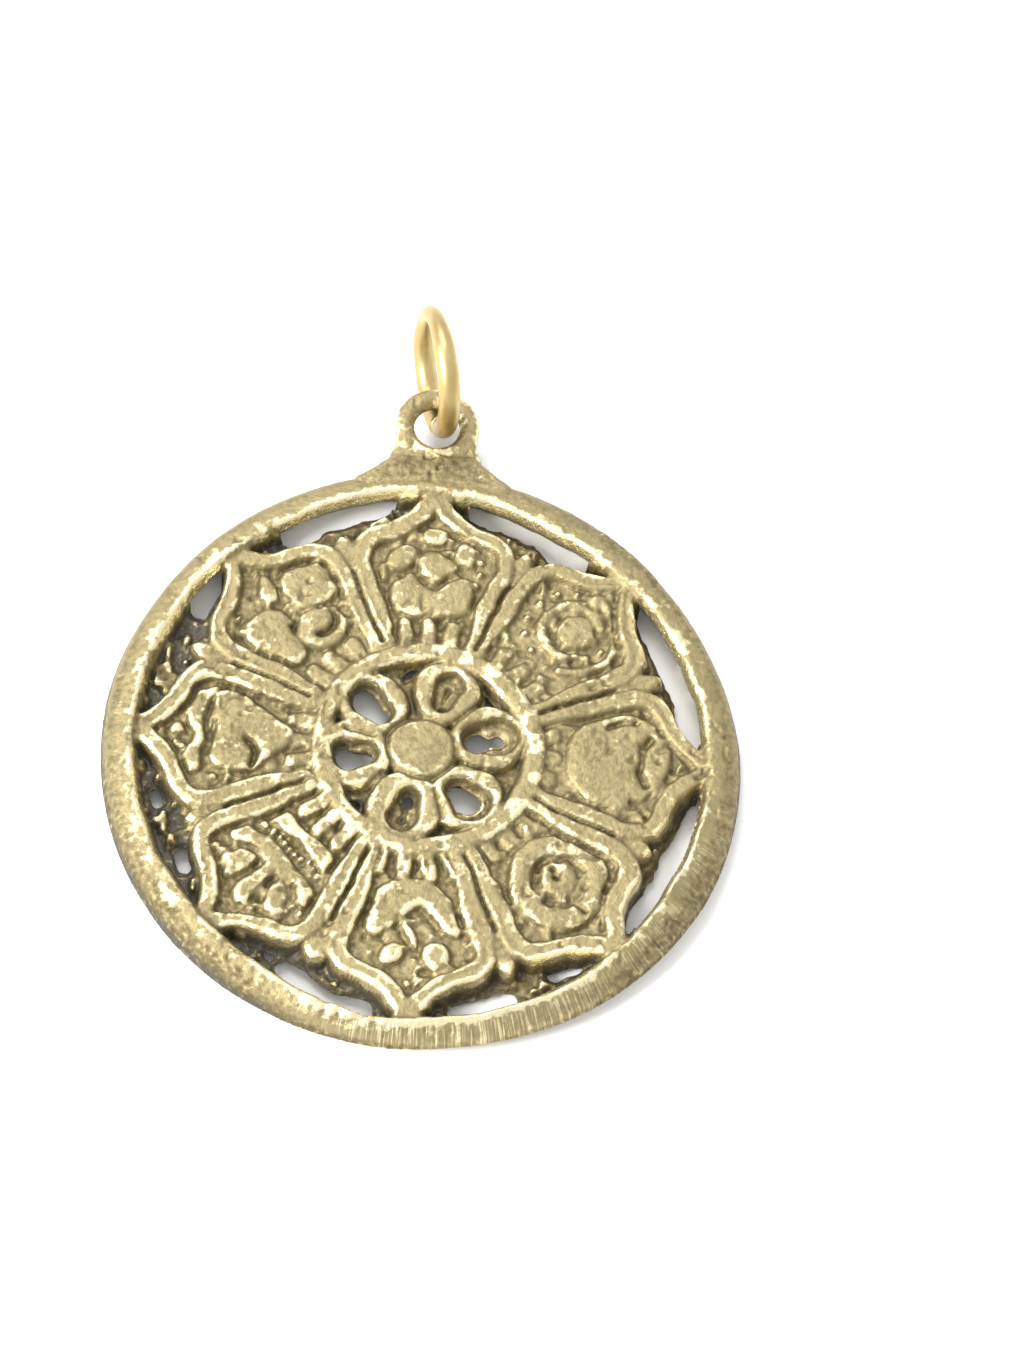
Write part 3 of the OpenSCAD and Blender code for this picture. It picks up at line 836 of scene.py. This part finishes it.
def cast_brass():
    """Dull on the flats; bright and ragged on worn edges, with painted highlights and specks; brown tarnish with
    painted shade in the hollows, grey painted shade in the deepest; streaked where filed.
    """
    material, tree, shader = new_material("cast_brass")
    where = tree.nodes.new("ShaderNodeTexCoord").outputs["Object"]
    tarnish_and_shade, wear_and_highlight, filed = (
        add(tree, "ShaderNodeAttribute", attribute_name=name).outputs["Fac"]
        for name in ("tarnish_and_shade", "wear_and_highlight", "filed")
    )
    blotch = grain(tree, where, 2.4, 4)
    speck = grain(tree, where, 0.4, 3)
    fine = grain(tree, where, 0.09, 3)

    # streaks along the radius, finer than the mesh
    split = tree.nodes.new("ShaderNodeSeparateXYZ")
    tree.links.new(where, split.inputs[0])
    streaks_per_radian = 130.0
    angle = maths(tree, "ARCTAN2", split.outputs[1], split.outputs[0])
    turn = maths(tree, "MULTIPLY", angle, streaks_per_radian)
    polar = tree.nodes.new("ShaderNodeCombineXYZ")
    tree.links.new(turn, polar.inputs[0])
    tree.links.new(maths(tree, "MULTIPLY", split.outputs[1], 0.4 / MM), polar.inputs[1])
    streak = add(tree, "ShaderNodeTexNoise", Scale=1.0, Detail=2.0)
    tree.links.new(polar.outputs[0], streak.inputs["Vector"])
    streak = streak.outputs["Fac"]
    hatch = maths(tree, "MULTIPLY", filed, ramp(tree, streak, [(0.5, 0.0), (0.64, 0.9)]))
    scratch = maths(tree, "MULTIPLY", filed, ramp(tree, streak, [(0.34, 0.6), (0.5, 0.0)]))

    # tarnish, speckled grime and painted shade together decide how far the colour turns brown
    dirt_and_shade = maths(tree, "ADD", tarnish_and_shade, maths(tree, "MULTIPLY", maths(tree, "SUBTRACT", 0.5, speck), 0.7))
    dirt_and_shade = maths(tree, "ADD", dirt_and_shade, maths(tree, "MULTIPLY", maths(tree, "SUBTRACT", blotch, 0.5), 0.3))
    dirt_and_shade_share = ramp(tree, dirt_and_shade, [(0.04, 0.0), (0.2, 0.4), (0.45, 0.85), (0.8, 1.0)])
    # painted glints: bright specks break through the darkening
    dirt_and_shade_share = maths(tree, "MULTIPLY", dirt_and_shade_share, ramp(tree, speck, [(0.56, 1.0), (0.68, 0.3)]))
    dirt_and_shade_share = maths(tree, "MAXIMUM", dirt_and_shade_share, scratch)
    patch = grain(tree, where, 1.3, 3)
    # rubbed edges and painted highlights, broken up by specks and patches
    edge = maths(tree, "ADD", wear_and_highlight, maths(tree, "MULTIPLY", maths(tree, "SUBTRACT", speck, 0.5), 1.3))
    edge = maths(tree, "ADD", edge, maths(tree, "MULTIPLY", maths(tree, "SUBTRACT", patch, 0.5), 2.0))
    polish_and_highlight = maths(tree, "MAXIMUM", ramp(tree, edge, [(0.38, 0.0), (0.72, 1.0)]), hatch)
    dull = [(0.3, (0.265, 0.215, 0.11)), (0.5, (0.315, 0.26, 0.135)), (0.7, (0.28, 0.228, 0.118))]
    metal = ramp(tree, blotch, dull)
    brown = ramp(tree, speck, [(0.3, (0.105, 0.083, 0.041)), (0.7, (0.19, 0.151, 0.078))])
    # the deepest hollows turn grey: painted shade
    brown_and_shadow_grey = mixed(tree, ramp(tree, tarnish_and_shade, [(0.5, 0.0), (0.85, 1.0)]), brown, (0.112, 0.105, 0.084))
    # the pale colour of rubbed metal and of painted highlights
    metal_with_highlights = mixed(tree, polish_and_highlight, metal, (0.74, 0.65, 0.40))
    tree.links.new(mixed(tree, dirt_and_shade_share, metal_with_highlights, brown_and_shadow_grey), shader.inputs["Base Color"])
    base = ramp(tree, dirt_and_shade_share, [(0.0, 0.5), (0.5, 0.55), (1.0, 0.65)])
    shine = maths(tree, "MULTIPLY", polish_and_highlight, -0.24)
    uneven = maths(tree, "MULTIPLY", maths(tree, "SUBTRACT", fine, 0.5), 0.2)
    total = maths(tree, "ADD", maths(tree, "ADD", base, shine), uneven, clamp=True)
    tree.links.new(total, shader.inputs["Roughness"])
    shader.inputs["Metallic"].default_value = 0.9
    bumped(tree, shader, [(speck, 0.1), (fine, 0.03), (hatch, 0.05)])
    return material


def ring_brass():
    """Drawn wire: paler and smooth, with soft blotches in its tone and surface."""
    material, tree, shader = new_material("ring_brass")
    where = tree.nodes.new("ShaderNodeTexCoord").outputs["Object"]
    blotch = grain(tree, where, 1.8, 3)
    fine = grain(tree, where, 0.12, 3)
    metal = ramp(tree, blotch, [(0.35, (0.43, 0.325, 0.14)), (0.65, (0.5, 0.39, 0.178))])
    tree.links.new(metal, shader.inputs["Base Color"])
    tree.links.new(ramp(tree, fine, [(0.3, 0.34), (0.7, 0.44)]), shader.inputs["Roughness"])
    shader.inputs["Metallic"].default_value = 0.95
    bumped(tree, shader, [(blotch, 0.03), (fine, 0.006)])
    return material


def pale_floor():
    """Matt near-white paper."""
    material, tree, shader = new_material("pale_floor")
    where = tree.nodes.new("ShaderNodeTexCoord").outputs["Object"]
    tint = ramp(tree, grain(tree, where, 3.0, 3), [(0.3, (0.92, 0.92, 0.92)), (0.7, (0.94, 0.94, 0.935))])
    tree.links.new(tint, shader.inputs["Base Color"])
    shader.inputs["Roughness"].default_value = 0.9
    return material


# ---------------------------------------------------------------- stage, light and camera

def build_stage():
    bpy.ops.mesh.primitive_plane_add(size=3.0, location=(0, 0, 0))
    ground = bpy.context.object
    ground.name = "table_top"
    ground.data.materials.append(pale_floor())
    world = bpy.data.worlds.new("studio")
    bpy.context.scene.world = world
    world.use_nodes = True
    back = world.node_tree.nodes["Background"]
    back.inputs["Color"].default_value = (1.0, 1.0, 1.0, 1)
    back.inputs["Strength"].default_value = 1.2
    bpy.context.scene.view_settings.view_transform = "Standard"


def soft_light(name, place, aim, size, power, colour):
    """A round soft box at place, facing aim; sizes in metres, power in watts."""
    lamp = bpy.data.lights.new(name, "AREA")
    lamp.shape = "DISK"
    lamp.size = size
    lamp.energy = power
    lamp.color = colour
    box = bpy.data.objects.new(name, lamp)
    box.location = place
    box.rotation_euler = (Vector(aim) - Vector(place)).to_track_quat("-Z", "Y").to_euler()
    bpy.context.scene.collection.objects.link(box)


def build_lights():
    soft_light("key_light", (-0.42, -0.18, 0.32), (0, 0, 0), 0.22, 4.4, (1.0, 0.99, 0.96))
    soft_light("back_light", (-0.15, 0.28, 0.5), (0, 0, 0), 0.3, 1.7, (1.0, 0.99, 0.97))


def build_camera():
    """Looks down on the disc from in front, turned a little about its own line of sight."""
    azimuth, elevation, roll = math.radians(-6.36), math.radians(62.52), math.radians(9.92)
    distance = 14 * DISC_R
    # how large one unit at the disc's centre shows, as a share of the picture's height
    unit_share = 0.01178022
    # where the disc's centre shows, from the middle of the picture, as shares of its height
    offset_x, offset_y = -0.0671795, -0.0598535
    back = Vector((
        math.sin(azimuth) * math.cos(elevation),
        -math.cos(azimuth) * math.cos(elevation),
        math.sin(elevation),
    ))
    level = Vector((math.cos(azimuth), math.sin(azimuth), 0))
    upright = back.cross(level)
    right = math.cos(roll) * level + math.sin(roll) * upright
    up = math.cos(roll) * upright - math.sin(roll) * level
    focal = unit_share * distance / UNIT
    camera = bpy.data.cameras.new("camera")
    camera.sensor_fit = "AUTO"
    camera.sensor_width = 36
    camera.lens = focal * camera.sensor_width
    camera.clip_start, camera.clip_end = 0.01, 10
    holder = bpy.data.objects.new("camera", camera)
    turn = Matrix((right, up, back)).transposed().to_4x4()
    place = distance * (back - offset_x / focal * right - offset_y / focal * up)
    holder.matrix_world = Matrix.Translation(place) @ turn
    bpy.context.scene.collection.objects.link(holder)
    bpy.context.scene.camera = holder


build_camera()
casting = build_casting()
casting.data.materials.append(cast_brass())
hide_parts(*frame["record"]["behaviour"]["bodies"]["pendant"])
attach(casting, "pendant")

jump_ring = build_jump_ring()
jump_ring.data.materials.append(ring_brass())
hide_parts("jump_ring")
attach(jump_ring, "ring")

build_stage()
build_lights()
